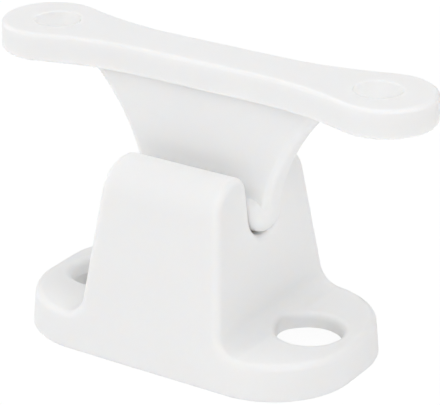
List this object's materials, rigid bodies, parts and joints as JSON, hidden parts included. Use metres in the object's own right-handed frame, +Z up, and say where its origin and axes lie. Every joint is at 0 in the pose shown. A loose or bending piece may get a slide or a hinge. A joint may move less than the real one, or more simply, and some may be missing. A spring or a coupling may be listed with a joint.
{
  "type": "t-style door holder",
  "caption": "Snap-in door holder: a white moulded T-shaped strike whose beaded blade sits in the slot of a screw-down socket base.",
  "frame": {"origin": "centre of the base's underside, midway between its two screw holes", "axes": "+Z up from the base to the strike's plate, +X along both mouldings and the slot, +Y across the slot"},
  "size_m": [0.0605, 0.0264, 0.0378],
  "materials": {
    "white_base": "satin white moulded plastic",
    "white_strike": "satin white moulded plastic"
  },
  "bodies": {
    "base": {"socket_base": "white_base"},
    "strike": {"t_strike": "white_strike"}
  },
  "joints": [
    {"name": "strike_pull", "type": "slide", "parent": "base", "child": "strike", "axis": [0, 0, 1], "range_m": [0, 0.015]}
  ]
}
